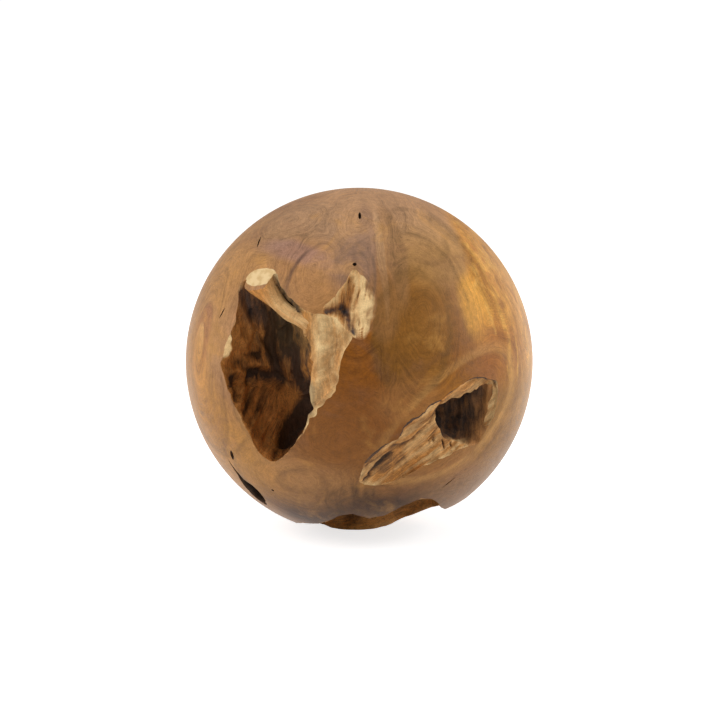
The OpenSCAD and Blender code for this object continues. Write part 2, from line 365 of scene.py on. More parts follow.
# %% The wing's table and profile
WING_REACH, WING_DEEP = 33.0, 10.0
WING = np.array([  # bearing, share of the reach and of the depth, fall in depths, slope on to the floor
    (-60, 0, 0.5, 1.2, 0), (-45, 0.1, 0.5, 1.2, 0), (-25, 0.5, 0.7, 1.4, 0),
    (-5, 0.68, 0.9, 2.2, 0.4), (10, 0.8, 1, 2.6, 1), (36, 1, 0.9, 3.4, 1),
    (56, 0.6, 0.6, 3, 1), (78, 0, 0.5, 3, 0.5), (110, 0, 0.5, 3, 0)])


def table(rows, a, column):
    """A column of a table of bearings, read at bearing a (0 to 360)."""
    a = np.where(a > 180, a - 360, a)
    return np.interp(a, rows[:, 0], rows[:, column])


def wing_profile(a, z):
    """How far the wing stands in: a dish, then a crest rolled over, then its fall.
    With u = z / crest depth: 0.2 u + 0.58 s((u - 0.4) / 0.6) + 0.22 (1 - (1 - w)^2),
    w = (u - 1) / 0.9, all times 1 - s((u - 1.9) / fall)."""
    u = z / (WING_DEEP * table(WING, a, 2))
    w = np.clip((u - 1) / 0.9, 0, 1)
    stand = 0.2 * np.clip(u, 0, 1) + 0.58 * smooth((u - 0.4) / 0.6) + 0.22 * (1 - (1 - w) ** 2)
    return table(WING, a, 1) * stand * (1 - smooth((u - 1.9) / table(WING, a, 3)))


def wing_slope(a, z, deep, crest_r):
    """The wall that runs on from the wing's crest to the floor: r_crest (1 - w^1.6)^(1/1.6),
    with w = (z - crest depth) / (deep - crest depth)."""
    crest = WING_DEEP * table(WING, a, 2)
    w = np.clip((z - crest) / (deep - crest), 0, 1)
    return crest_r * (1 - w**1.6) ** (1 / 1.6)


print("wing at 36 degrees, 12 mm down:", round(float(WING_REACH * wing_profile(36.0, 12.0)), 1), "mm in")

# %% [markdown]
# ## A hollow
#
# Rot leaves a pocket that is steep under its rim and rounds off to a floor. It
# is made as a cutter, from just over the skin downwards: `r(t) = rim
# (1 - t^p)^(1/p)`, with `t` the share of the depth. `lean` moves the floor
# sideways. A wall pressed into the ball's own mesh would stretch its faces; a
# cutter keeps them even. What makes each hollow its own is its `carve`, which
# gives four things: how far the wall goes out and down, its marks (`pale`,
# `gloom` and so on) and its fibre.

# %% A cutter for a hollow
LIP = 1.8  # the wall starts this far over the skin
SOFTEN = 22.0  # degrees over which the outline is averaged at the floor


def hollow(name, at, outline, deep, lean, full, slack=0.0, wing=0.0, fan=0.0,
           sides=200, rings=60, carve=None):
    """A cutter for one hollow: r = rim (1 - t^p)^(q/p), with p = full - slack sin a and
    q = 1 + fan cos a (sin and cos where above 0), then moved by what carve says."""
    a = (np.arange(sides) * 360 / sides)[None, :]
    cos, sin = np.cos(np.radians(a)), np.sin(np.radians(a))
    z = ((deep + LIP) * (1 - np.cos(np.pi * np.arange(rings) / rings)) / 2 - LIP)[:, None]
    t = np.clip(z, 0, None) / deep
    power = full - slack * np.clip(sin, 0, None)
    spread = 1 + fan * np.clip(cos, 0, None)
    r = rim(outline, a, SOFTEN * np.sqrt(t)) * (1 - t**power) ** (spread / power)
    if wing:
        r = r - wing * wing_profile(a, z)
        crest_r = rim(outline, a, SOFTEN / 2) - 0.9 * wing * table(WING, a, 1)
        slope = np.minimum(r, wing_slope(a, z, deep, crest_r))
        r = r + table(WING, a, 4) * smooth(z / WING_DEEP) * (slope - r)

    def across(r):
        """x and y at a radius from the leaning axis."""
        return lean[0] * deep * t + r * cos, lean[1] * deep * t + r * sin

    def upwards(values, *width):
        """Values on the wall's rows, floor first, with the top row twice."""
        values = np.broadcast_to(values, (rings, sides, *width))
        return np.concatenate([values[:1], values])[::-1]

    x, y = across(r)
    turn = axes(*at)
    u, v = front(stacked(x, y, skin(x, y) - z) @ turn.T)
    out, down, marks, fibre = carve(a, z, x, y, u, v)
    x, y = across(np.maximum(r + out * smooth(r / 6), 0.0))
    wall = stacked(x, y, skin(x, y) - z - down * smooth(z / 1.5))
    top_r = rim(outline, a)
    top = stacked(top_r * cos, top_r * sin, BALL_R + EASE)
    grid = np.concatenate([top, wall])[::-1]
    ends = np.array([wall[-1].mean(axis=0), (0, 0, BALL_R + EASE)])
    fields = {key: upwards(value) for key, value in {"inner": 1.0, **marks}.items()}
    return tube(name, grid @ turn.T, ends @ turn.T, fields, upwards(fibre, 3))


print("a wall starts", LIP, "mm over the skin")

# %% Worn, broken and chipped rims
def chamfer(z, width):
    """Worn rim: width (1 - z / 1.4)^2 down to 1.4 mm, less half the width."""
    return width * (np.clip(1 - np.clip(z, 0, None) / 1.4, 0, None) ** 2 - 0.5)


def ledge(a, z, bearing, half, width, top):
    """A broken ledge below the skin, which narrows the hollow:
    -width hump(bearing)^0.4 s(z / top) (1 - s((z - 1.4 top) / 9))."""
    reach = -width * bump(off(a, bearing) / half) ** 0.4
    return reach * smooth(z / top) * (1 - smooth((z - 1.4 * top) / 9))


def chip(a, z, bearing, half, width, deep):
    """A broken lip, which widens it: width hump(bearing)^0.5 (1 - z / deep)^0.7."""
    return width * bump(off(a, bearing) / half) ** 0.5 * np.clip(1 - z / deep, 0, None) ** 0.7


print("a worn rim is", chamfer(0.0, 0.6) - chamfer(1.4, 0.6), "mm wide")

# %% [markdown]
# ## The great hollow
#
# This is where the root's heart rotted away, down to ribs, ridges and cracks in
# colours from red to dark brown; its depths, grooves and undercut are painted
# darker as shade, nearly to black. Noise alone would look like any stone, so the
# large forms are lines in the front view, with noise between them. `RELIEF`
# holds the lines that stand out or are cut in, `SHADE_AND_STREAKS` those that are only
# painted darker or lighter: painted shade and light, and streaks of the grain.

# %% Lines of the great hollow
UNDERCUT = [(-43, -26), (-44, -38), (-50, -50), (-58, -60), (-66, -70)]
# Painted shadow: a dark band behind the root.
SHADOW_BEHIND_ROOT = [(-72, 76), (-68, 64), (-60, 54), (-51, 45)]  # the dark behind the root
CREST = [(-36, 38), (-32, 22), (-31, 4), (-34, -14), (-40, -34)]
DISH = [(-24, 30), (-21, 14), (-22, 0)]  # between the crest and the rim
JOINT = [(-50, 42), (-44, 36), (-40, 20), (-39, 2)]  # where the root becomes the wing
RECESS = [(-99, 58), (-92, 42)]

RELIEF = [  # height of a ridge (or depth of a groove, below 0), half width, line
    (-3.5, 3.5, [(-79, 48), (-76, 36), (-75, 18), (-74, 4), (-72, -10)]),
    (-2.0, 2.5, [(-85, 43), (-81, 27), (-79, 14)]),
    (-5.0, 4.5, [(-64, 25), (-63, 24)]),
    (-3.0, 3.0, [(-67, 42), (-60, 20), (-56, 4), (-57, -12)]),
    (3.5, 3.0, [(-113, -8), (-105, -7), (-100, -13), (-101, -25), (-103, -37)]),
    (-3.5, 3.0, [(-111, -15), (-107, -26), (-105, -35)]),
    (-3.0, 3.5, [(-97, -13), (-90, -9), (-82, -12)]),
    (2.5, 4.0, [(-106, 24), (-95, 18), (-86, 14)]),
    (-2.5, 3.0, [(-107, 10), (-97, 6), (-86, 4)]),
    (2.0, 4.0, [(-92, -2), (-82, 0), (-76, -6)]),
    (-6.0, 6.0, UNDERCUT),
    (5.0, 7.0, [(-54, -26), (-55, -38)]),
    (3.0, 7.0, [(-104, 12), (-96, 26), (-88, 34)]),
    (-3.0, 2.5, [(-94, 44), (-90, 30), (-92, 12)]),
    (3.0, 5.0, [(-68, 8), (-62, -6), (-60, -12)]),
    (-3.0, 2.0, [(-70, -12), (-60, -20), (-50, -17)]),
    (2.0, 3.0, [(-62, -22), (-61, -38), (-66, -50)])]

# Painted shade and light along lines, darker in the recess and along the undercut, with darker and
# lighter streaks of the grain.
SHADE_AND_STREAKS = [  # how much darker (or lighter, below 0), half width, line
    (0.50, 9, [(-98, 60), (-94, 46)]),
    (0.50, 3.5, [(-86, 54), (-80, 30), (-77, 10), (-74, -8)]),
    (0.35, 2.5, [(-72, 42), (-67, 22), (-67, 2)]),
    (-0.45, 6, [(-108, 18), (-99, 6), (-90, -4)]),
    (-0.60, 5, [(-96, 32), (-94, 12)]),
    (-0.60, 2.2, [(-102, -10), (-101, -24), (-104, -36)]),
    (0.50, 3, [(-112, -6), (-110, -22), (-106, -38)]),
    (0.50, 6, [(-44, -22), (-43, -34), (-48, -46)]),
    (0.30, 6, [(-52, -46), (-62, -60)]),
    (0.55, 8, [(-61, 8), (-57, -4)]),
    (0.22, 6, [(-48, 24), (-46, 8)]),
    (0.20, 6, [(-64, -4), (-56, -12)]),
    (-0.30, 4, [(-58, -28), (-51, -33)]),
    (-0.50, 2.0, [(-98, -52), (-90, -38), (-84, -20)]),
    (-0.45, 1.8, [(-90, -66), (-80, -48), (-74, -30)]),
    (-0.70, 9, [(-86, -70), (-74, -70)])]
print(len(RELIEF), "lines of relief,", len(SHADE_AND_STREAKS), "of tone")

# %% Relief of the great hollow
LEDGE_AT, CHIP_AT, THIN_AT = 164, 320, 316  # bearings of the broken ledge, lip and thin edge


def great_grain(u, v):
    """The slanting panel at the lower left (across and along it, and how far a point
    belongs to it), and the wandering upright grain of the rest."""
    across, along = 0.93 * u - 0.37 * v, 0.37 * u + 0.93 * v
    panel = smooth((-v - 14) / 10) * smooth((-u - 60) / 8)
    return across, along, panel, u + 4 * grain(u, v, 30, 2)


def great_relief(a, z, x, y, u, v):
    """Out: lumps, ribs along the grain, the lines of RELIEF and a broken lip.
    Down: the wing's dish and crest, with fine lines along them."""
    wing = table(WING, a, 1)
    across, along, panel, flow = great_grain(u, v)
    lumps = 3.0 * grain(x, y, 24, z=z) + 1.8 * grain(x, y, 9, 3, z)
    slant = 1.5 * grain(across, along / 9, 3.4) + 0.7 * grain(across, along / 8, 1.4, 4)
    ribs = 1.3 * grain(flow, v / 10, 3.6, 5) + 0.6 * grain(flow, v / 9, 1.5, 9)
    free = smooth(z / 6) * (1 - 0.9 * smooth(wing * 4) * smooth((24 - z) / 8))
    cut = -grooves(u, v, RELIEF)
    ragged = (0.9 - 0.6 * smooth(wing * 3)) * rough(spot(x, y, 0.0, 6) + 11, 3)
    scallop = 1 + 0.5 * grain(x, y, 4, 6)
    lip = ledge(a, z, LEDGE_AT, half=10, width=6.5, top=1.6) * scallop
    lip = lip + chip(a, z, CHIP_AT, half=44, width=3.4, deep=1.3) * scallop
    out = free * (lumps + panel * slant + (1 - panel) * ribs + cut) + ragged + lip + chamfer(z, 0.6)
    web = smooth(wing * 6) * smooth((2.6 * WING_DEEP - z) / 9)
    lines = 0.6 * grain(u + 0.2 * v, v / 12, 2.2) + 0.6 * grain(u, v, 9)
    rolled = 2.4 * groove(u, v, DISH, 6) - 2.6 * groove(u, v, CREST, 4.5) + lines
    return out, free * 0.5 * cut + web * smooth(z / 3) * rolled


print("grain at the middle:", [round(float(w), 2) for w in great_grain(-60.0, 0.0)])

# %% Marks and fibre of the great hollow
def great_pale(a, z, x, y, u, v):
    """Sapwood: the wing's face near the skin, with a painted highlight along its crest
    and where the root joins it, paler at the rim and darker towards the bottom; the
    thin broken edge and the ledge's chips.
    """
    haze = smooth(table(WING, a, 1) * 6) * smooth((34 - z) / 22)
    haze = haze * (1 - smooth((v + 24) / 18) * (1 - smooth((u + 46) / 16)))
    # Painted highlight on the wing's crest and joint, over the sapwood.
    sapwood_and_highlight = 0.45 + 0.55 * groove(u, v, CREST, 4.5) + 0.3 * np.clip(1 - z / 2.5, 0, 1)
    sapwood_and_highlight = sapwood_and_highlight + 0.4 * grain(u + 0.2 * v, v / 12, 1.6, 5)
    sapwood_and_highlight = sapwood_and_highlight + 0.12 + 0.45 * groove(u, v, JOINT, 4.5)
    sapwood_and_highlight = sapwood_and_highlight * (1 - 0.45 * smooth((-v - 4) / 12))
    low_edge = 0.75 * bump(off(a, THIN_AT) / 42) + 0.25 + 0.6 * grain(x, y, 7, z=z)
    thin_edge = np.clip(1 - z / 2.4, 0, 1) * np.clip(low_edge, 0, 1)
    chips = (bump(off(a, LEDGE_AT) / 10.5) > 0) * smooth((3.2 - z) / 1.2)
    return np.clip(np.maximum(np.maximum(sapwood_and_highlight * haze, thin_edge), 0.95 * chips), 0, 1)


def carve_great(a, z, x, y, u, v):
    """The relief; red at the left and on the panel, olive at the upper right, slate in
    the recess; gloom, which is painted shade (darker with depth, under the undercut,
    in the grooves and behind the root, lighter on the ridges), with darker streaks
    along the grain and the painted shade and streaks of SHADE_AND_STREAKS."""
    out, down = great_relief(a, z, x, y, u, v)
    across, along, panel, flow = great_grain(u, v)
    web = smooth(table(WING, a, 1) * 6) * smooth((2.6 * WING_DEEP - z) / 9)
    red = smooth((-u - 70) / 10) * smooth((v + 12) / 10) + 1.3 * panel
    olive = smooth((u + 82) / 14) * smooth((v + 2) / 24) * (1 - 0.7 * web)
    # Painted shade: darker with depth, under the undercut and in the grooves, lighter on the ridges; the
    # grain adds darker streaks, and a painted shadow lies behind the root.
    gloom = 0.75 * smooth(z / 70) + 0.48 * groove(u, v, UNDERCUT, 7)
    gloom = gloom + 0.15 * -grooves(u, v, RELIEF) - 0.3 * panel
    gloom = gloom + 0.9 * panel * grain(across, along / 9, 4.2, 8)
    gloom = gloom + 0.4 * (1 - panel) * grain(flow, v / 12, 3.2, 3) + grooves(u, v, SHADE_AND_STREAKS)
    gloom = np.clip(gloom, 0, 1.3) + 0.9 * groove(u, v, SHADOW_BEHIND_ROOT, 3.6)
    marks = {"pale": great_pale(a, z, x, y, u, v), "gloom": gloom, "olive": olive,
             "red": np.clip(red, 0, 1.4), "slate": 0.8 * groove(u, v, RECESS, 9)}
    panel = panel[..., None]
    fibre = spot(flow, v / 6, z / 4, 2.6) * (1 - panel) + panel * spot(across, along / 9, z / 6, 2.4)
    return out, down, marks, fibre


great = told(hollow("great", GREAT_AT, sized(GREAT, 120, 156), deep=76, lean=(-0.3, -0.37),
                    full=2.6, slack=0.9, wing=WING_REACH, sides=340, rings=96, carve=carve_great))

# %% [markdown]
# ## The knot pocket
#
# A branch's knot fell out here. A crisp dark valley runs up its left side, and
# the pale fibres that grew round the knot fan out at its right, with pits and
# drying cracks between them. A scanned texture would bring its own light along.
# Lines at measured places don't, and the same lines set both the relief and
# the tone; the tone paints shade into the valley, the pits and the cracks.

# %% The knot pocket
VALLEY = [(-34, 40), (-27, 44), (-16, 47), (-12, 43), (-8, 32), (-4, 23)]
LONG_PITS = [[(-8.8, 72.7), (-9.4, 68.9)], [(-4.1, 66.7), (-5.8, 59.8)],
             [(0.7, 61.5), (-2, 54), (-5.8, 43.4)]]
CRACKS = [[(13.5, 49), (12.5, 38)], [(5.5, 58), (4.8, 54)], [(14.5, 60), (15, 52)],
          [(3.9, 52), (3.5, 43)], [(6, 42), (6, 36)], [(8.2, 36), (7.5, 29)],
          [(11.5, 68), (12.5, 51)], [(1, 38), (-0.5, 31)], [(9, 60), (9.5, 52)]]


def carve_knot(a, z, x, y, u, v):
    """Down: the valley, the pits, the cracks and the fan's fibres. At the right the
    wall counts as skin (inner near 0) until it is 1 to 3 mm deep. Shade is painted
    into the valley, the pits and the cracks, and on the left wall with depth."""
    pits = sum(groove(u, v, line, 1.1) for line in LONG_PITS)
    cracks = sum(groove(u, v, line, 0.5) for line in CRACKS)
    east = np.clip(np.cos(np.radians(a + 10)), 0, 1) ** 0.5
    fan = u - 0.1 * v
    fibres = 0.5 * grain(fan, v / 9, 1.6, 4) + 0.5 * grain(x, y, 3, 9, z)
    lumps = 0.7 * grain(x, y, 7, z=z)
    out = 0.7 * rough(spot(x, y, 0.0, 5) + 2, 2) + chamfer(z, 0.6) * (1 - east)
    down = 2.0 * groove(u, v, VALLEY, 2.2) + 1.5 * pits + 0.8 * cracks + fibres + lumps
    # Painted shade along the valley; below, the pits and cracks are darkened as painted shade too.
    dark = groove(u, v, VALLEY, 3.8) * (0.9 + 0.4 * grain(u, v, 2.4))
    lines = grain(fan, v / 12, 1.1, 2) + 0.7 * grain(fan, v / 9, 2.6, 7)
    pale = 0.72 + 0.4 * east + 0.45 * lines - 0.9 * dark - 0.6 * pits - 0.9 * cracks
    # Painted shade: the left wall darker with depth.
    pale = pale - 0.45 * smooth(z / 9) * (1 - east)
    inner = smooth(z / 1.2) * smooth((z + 1.6 * lines) / 3.2) + (1 - smooth(east * 3 - 1))
    gloom = 0.25 * dark + 0.35 * pits + 0.9 * cracks - 0.3 * lines
    marks = {"inner": np.clip(inner, 0.01, 1), "pale": np.clip(pale, 0, 1),
             "gloom": gloom, "slate": dark * smooth(z / 2)}
    return out, down * smooth(z / 2), marks, spot(fan, v / 9, z / 6, 2.0)


knot = told(hollow("knot", KNOT_AT, sized(KNOT, 43, 61), deep=15, lean=(-0.47, 0.13),
                   full=1.2, fan=3, sides=170, rings=44, carve=carve_knot))

# %% [markdown]
# ## The slanting trough
#
# A shallow gouge follows the grain up to the right. Its floor is split into
# strands with a crevice and long pits, and its upper lip broke off in thin
# scales. The strands are noise drawn out along the gouge, and the crevice, pits
# and breaks are lines again, because they are too few and too plain to see to
# be left to chance.

# %% The trough
CREVICE = [(72.0, -34.0), (62.5, -50.5), (52.0, -62.0), (46.0, -68.0), (35.5, -73.0),
           (27.5, -73.0)]
PITS = [[(7.5, -98.0), (14.0, -91.0), (20.0, -84.5), (27.5, -79.5)],
        [(3.5, -103.5), (8.5, -99.5)]]
SEAMS = [[(28.0, -98.5), (31.5, -90.5), (37.0, -84.5)],
         [(47.0, -58.5), (57.5, -50.5), (69.5, -40.0), (86.0, -29.0), (100.0, -21.0)],
         [(73.5, -34.0), (79.0, -30.5)]]
BROKEN = [[(60.5, -59.5), (61.5, -69.5)], [(64.0, -62.0), (64.5, -69.5)],
          [(72.0, -69.5), (73.0, -74.0)], [(79.0, -70.5), (79.5, -74.0)]]
BROWN = [(21.5, -94.0), (26.0, -86.0), (31.5, -80.0)]


def carve_trough(a, z, x, y, u, v):
    """Down: strands and the cut lines. Out: roughness, with a ragged upper lip. The lip's
    painted shadow line, painted shade in the cut lines and the brown patch are darker,
    the lower rim and the right end paler."""
    along, across = 0.8 * u + 0.6 * v, -0.6 * u + 0.8 * v
    strands = 0.9 * grain(along / 9, across, 3.4, 6) + 0.5 * grain(along / 7, across, 1.4, 1)
    cut = 1.8 * groove(u, v, CREVICE, 0.9) + sum(2.8 * groove(u, v, line, 1.2) for line in PITS)
    cut = cut + sum(0.9 * groove(u, v, line, 0.8) for line in SEAMS)
    cut = cut + sum(2.6 * groove(u, v, line, 0.6) for line in BROKEN)
    upper = smooth((np.sin(np.radians(a - 28)) + 0.1) / 0.3)
    out = 0.9 * rough(spot(x, y, 0.0, 7) + 20, 2) + 0.5 * grain(x, y, 1.6) + chamfer(z, 0.5)
    out = out + upper * np.clip(1 - z / 0.7, 0, 1) * (1.5 + 1.2 * grain(x, y, 8))
    shade = upper * smooth((4.4 - z + 1.2 * grain(x, y, 3)) / 1.2)
    dim = 1.3 * groove(u, v, BROWN, 7)
    pale = 0.28 + 0.3 * smooth((u - 108) / 6) + 0.5 * grain(along / 8, across, 2.6)
    pale = pale - 0.3 * cut - 0.6 * dim - 0.8 * shade + 0.4 * (1 - upper) * smooth(1 - z / 3)
    # Painted shade in the cut lines and the lip's painted shadow, with the brown patch.
    gloom = np.clip(0.24 + 0.32 * cut + shade + 0.3 * dim, 0, 1.6)
    marks = {"pale": np.clip(pale, 0, 1), "gloom": gloom}
    return out, strands + cut, marks, spot(along / 9, across, z / 4, 2.8)


trough = told(hollow("trough", TROUGH_AT, sized(TROUGH, 118, 92), deep=10, lean=(0.8, 0.6),
                     full=2.8, sides=240, rings=44, carve=carve_trough))

# %% [markdown]
# ## The hole, the cave and the gash
#
# The hole at the trough's upper end goes deep, with upright fibres on its lit
# wall. The cave is a wide rotted place under the base, and the gash is a split
# at the lower left. They are seen from far off or in the dark, so each is only
# its outline with noise of two sizes. More would cost faces that nobody sees.

# %% The hole, the cave and the gash
def carve_hole(a, z, x, y, u, v):
    """Upright fibres on the right wall and a ragged lip; painted shade deepens downwards,
    a little less on the lit right wall.
    """
    out = 1.6 * grain(x, y, 9, z=z) * smooth(z / 5)
    out = out + 0.8 * rough(spot(x, y, 0.0, 5) + 31, 2) + chamfer(z, 1.0)
    out = out + 0.9 * grain(u, v / 9, 2.6, z=z / 9) * smooth(z / 4)
    lit = smooth((u - 86) / 12)
    # Painted shade: darker with depth, a little less on the lit wall.
    marks = {"pale": 0.5 * smooth((13 - z) / 2) * (1 - lit),
             "gloom": 0.9 * smooth(z / 26) * (1 - 0.1 * lit), "slate": 0.35}
    return out, 0.0, marks, spot(u, v / 7, z / 7, 6.0)


def carve_cave(a, z, x, y, u, v):
    """Broad lumps, and fibres that run across; painted shade deepens downwards."""
    out = 3.0 * grain(x, y, 22, z=z) * smooth(z / 6)
    out = out + 1.0 * rough(spot(x, y, 0.0, 9) + 41, 2) + chamfer(z, 1.0)
    down = 2.0 * grain(x, y, 15, z=z) + 0.9 * grain(x / 8, y, 3, z=z)
    # Painted shade: darker with depth.
    marks = {"pale": 0.25 * np.clip(1 - z / 4, 0, 1), "gloom": smooth(z / 30)}
    return out, down, marks, spot(x / 9, y, z, 3)


def carve_gash(a, z, x, y, u, v):
    """A rough split, painted dark with shade from its rim on."""
    out = 0.8 * rough(spot(x, y, z, 4), 2) + chamfer(z, 0.6)
    return out, 0.0, {"gloom": 0.9 + smooth(z / 3)}, spot(x, y / 6, z, 2)


hole = told(hollow("hole", HOLE_AT, sized(HOLE, 57, 51), deep=56, lean=(-0.11, 0.04),
                   full=2.6, sides=140, rings=50, carve=carve_hole))
cave = told(hollow("cave", CAVE_AT, sized(CAVE, 146, 145), deep=40, lean=(0.1, -0.15),
                   full=2.2, sides=200, rings=44, carve=carve_cave))
gash = told(hollow("gash", GASH_AT, sized(GASH, 19, 58), deep=24, lean=(0.08, 0.08),
                   full=2.2, sides=64, rings=20, carve=carve_gash))

# %% [markdown]
# ## The bridge root
#
# One side root didn't rot: it crosses the great hollow from its sawn end at the
# upper left down to the wing. A curve object with a bevel would do, but a root
# is flat in one place and knobbly in another, so it is a tube along a smooth
# curve (Catmull-Rom) through stations, each with its own width, thickness and
# twist.

# %% The root's stations
ROOT_D, ROOT_END_W, ROOT_DEEP = 13.0, 31.0, 13.0
ROOT = np.array([  # x, y, depth, width (0: that of the sawn end), thickness, twist
    (-38, 85, -1.1, 0, 1.1, 0), (-35, 74.5, -0.1, 0, 1.1, 0), (-30, 66, 0.5, 1.8, 1.1, 10),
    (-23, 59, 0.8, 1.3, 1.1, 10), (-14, 52, 1, 1, 1, 0), (-4, 47, 1.05, 1, 1, 0),
    (7, 43, 1, 1, 1, 0), (18, 39, 0.95, 1.15, 1.1, 0), (27, 33, 0.95, 1.5, 1.1, 0),
    (36, 24, 1.2, 1.9, 1.1, 0), (44, 14, 1.8, 1.5, 0.9, 0)])


def catmull(stations, count):
    """Curve through the stations: half of
    2b + (c - a)t + (2a - 5b + 4c - d)t^2 + (3b - a - 3c + d)t^3."""
    s = np.linspace(0, len(stations) - 1.001, count)
    i, t = s.astype(int), (s % 1)[:, None]
    a, b, c, d = (stations[np.clip(i + k, 0, len(stations) - 1)] for k in (-1, 0, 1, 2))
    curve = 2 * b + (c - a) * t + (2 * a - 5 * b + 4 * c - d) * t**2
    return 0.5 * (curve + (3 * b - a - 3 * c + d) * t**3)


print(len(ROOT), "stations")

# %% The root
def make_root(count, sides):
    """Sections across the heading: side (w k cos a) + up (t k sin a). With run from 0 to
    12 along the root, k is 1 and three twisting flutes, noise, a knob at run 8.4 and a
    swelling at run 6, both at its lower side."""
    x, y, deep, wide, thick, roll = ROOT.T
    wide = np.where(wide == 0, ROOT_END_W, wide * ROOT_D) / 2
    height = skin(x, y) - deep * ROOT_DEEP
    line = catmull(np.column_stack([x, y, height, wide, thick * ROOT_D / 2, roll]), count)
    heading = unit(np.gradient(line[:, :3], axis=0))
    side = unit(np.cross(heading, [0, 0, 1.0]))
    up = np.cross(side, heading)
    roll = np.radians(line[:, 5:6])
    across = side * np.cos(roll) + up * np.sin(roll)
    upward = up * np.cos(roll) - side * np.sin(roll)
    a = np.radians(np.arange(sides) * 360 / sides)
    lower = np.cos(a)
    run = np.linspace(0, 12, count)[:, None]
    twist = 0.14 * run
    fibres = spot(2.6 * np.cos(a + twist), 2.6 * np.sin(a + twist), run / 3, 1.0)
    k = 1 + 0.05 * np.sin(3 * a + 0.9 * run) + 0.07 * noise(fibres * 0.7 + 4)
    k = k + 0.04 * noise(fibres * 2)
    k = k + 0.5 * bump((run - 8.4) / 0.5) * np.clip(lower, 0, 1) ** 6
    k = k + 0.12 * bump((run - 6) / 1.2) * lower
    grid = (line[:, None, :3] + across[:, None] * (line[:, 3:4] * k * np.cos(a))[..., None]
            + upward[:, None] * (line[:, 4:5] * k * np.sin(a))[..., None])[:, ::-1]
    fibres = fibres[:, ::-1]
    shade = 0.95 * np.exp(-((run - 2.2) / 2.0) ** 2) * (0.6 + 0.4 * lower[::-1])
    pale = np.clip(0.68 + 0.32 * noise(fibres) - shade, 0, 1)
    turn = axes(*GREAT_AT)
    return tube("root", grid @ turn.T, line[[0, -1], :3] @ turn.T,
                {"inner": 1.0, "pale": pale}, fibres * np.array([2.2, 2.2, 0.8]))


root = told(make_root(110, 64))

# %% [markdown]
# ## Checks and worm holes
#
# Checks are the short splits that drying wood opens along its grain, and worm
# holes are the round doors of beetles. They could be painted, but a real slot
# catches shadow from any side; its wall is also painted dark as shade. Each is a
# lens-shaped cutter, straight down and pinched at its floor.

# %% Checks and worm holes
def slot(name, at, turn, length, width, deep, sides=28):
    """A lens outline |x| = w/2 (1 - (2y/l)^2)^0.8, straight down and pinched at the floor."""
    q = np.radians(np.arange(sides) * 360 / sides)
    y = length / 2 * np.sin(q)
    x = width / 2 * np.sign(np.cos(q)) * np.abs(np.cos(q)) ** 1.6
    c, s = math.cos(math.radians(turn)), math.sin(math.radians(turn))
    x, y = c * x - s * y, s * x + c * y
    levels = [BALL_R + EASE, BALL_R - 0.4, BALL_R - 0.5 * deep, BALL_R - deep]
    shrink = [1.0, 1.0, 0.8, 0.25]
    grid = np.stack([stacked(x * k, y * k, h) for h, k in zip(levels, shrink)])[::-1]
    place = axes(*at)
    ends = np.array([(0, 0, levels[-1]), (0, 0, levels[0])]) @ place.T
    # Painted shade: a slot's wall is dark all through.
    return tube(name, grid @ place.T, ends, {"inner": 1.0, "gloom": 1.0}, grid / 3)


SLOTS = [  # name, place, turn, length, width, depth
    ("check_top", (0.4, 64), 0, 11.2, 2.6, 8), ("check_shoulder", (-57, 48), 35, 14, 1.8, 8),
    ("check_left", (-55, 21.5), -20, 11.2, 1.6, 8), ("check_low", (-52.5, -26), -20, 11.2, 4.2, 8),
    ("check_right", (37.6, -35), -40, 15.4, 1.3, 8),
    ("worm_knot", (-1.9, 42), 0, 3.6, 3.6, 9), ("worm_low", (-38.3, -38.7), 0, 2.9, 2.9, 9)]
slots = [slot(*row) for row in SLOTS]
print(len(slots), "slots")

# %% [markdown]
# ## Carving
#
# On the real ball the root was left standing while the rot round it was cleared
# away. Here too: the root is taken out of the great hollow's cutter, and then
# each cutter is taken out of the ball by a Boolean, which keeps the skin's
# roundness between the mouths. The Manifold solver is the quick one for closed
# meshes, and it carries the corners' numbers over.

# %% Carving
def carve(piece, tool):
    """Takes the tool out of the piece, for good, and drops the tool."""
    step = piece.modifiers.new("carve", "BOOLEAN")
    step.operation, step.solver, step.object = "DIFFERENCE", "MANIFOLD", tool
    shape = piece.evaluated_get(bpy.context.evaluated_depsgraph_get())
    mesh = bpy.data.meshes.new_from_object(shape)
    old, piece.data = piece.data, mesh
    piece.modifiers.clear()
    bpy.data.meshes.remove(old)
    used = tool.data
    bpy.data.objects.remove(tool)
    bpy.data.meshes.remove(used)


carve(great, root)
for tool in (great, knot, trough, hole, cave, gash, *slots):
    carve(ball, tool)
ball.data.calc_loop_triangles()
print("carved:", len(ball.data.loop_triangles), "triangles")
told(ball)

# %% [markdown]
# ## Shading normals
#
# Sanded skin is smooth right up to a sharp rim. Smooth shading would average
# skin and wall there and blur the rim. So the skin's normals point straight out
# from the middle, and a wall's are the mean of its own faces at each point,
# weighted by their areas.

# %% Normals of the skin, the flat and the walls
ON_WALL = 0.005  # `inner` above this is a wall


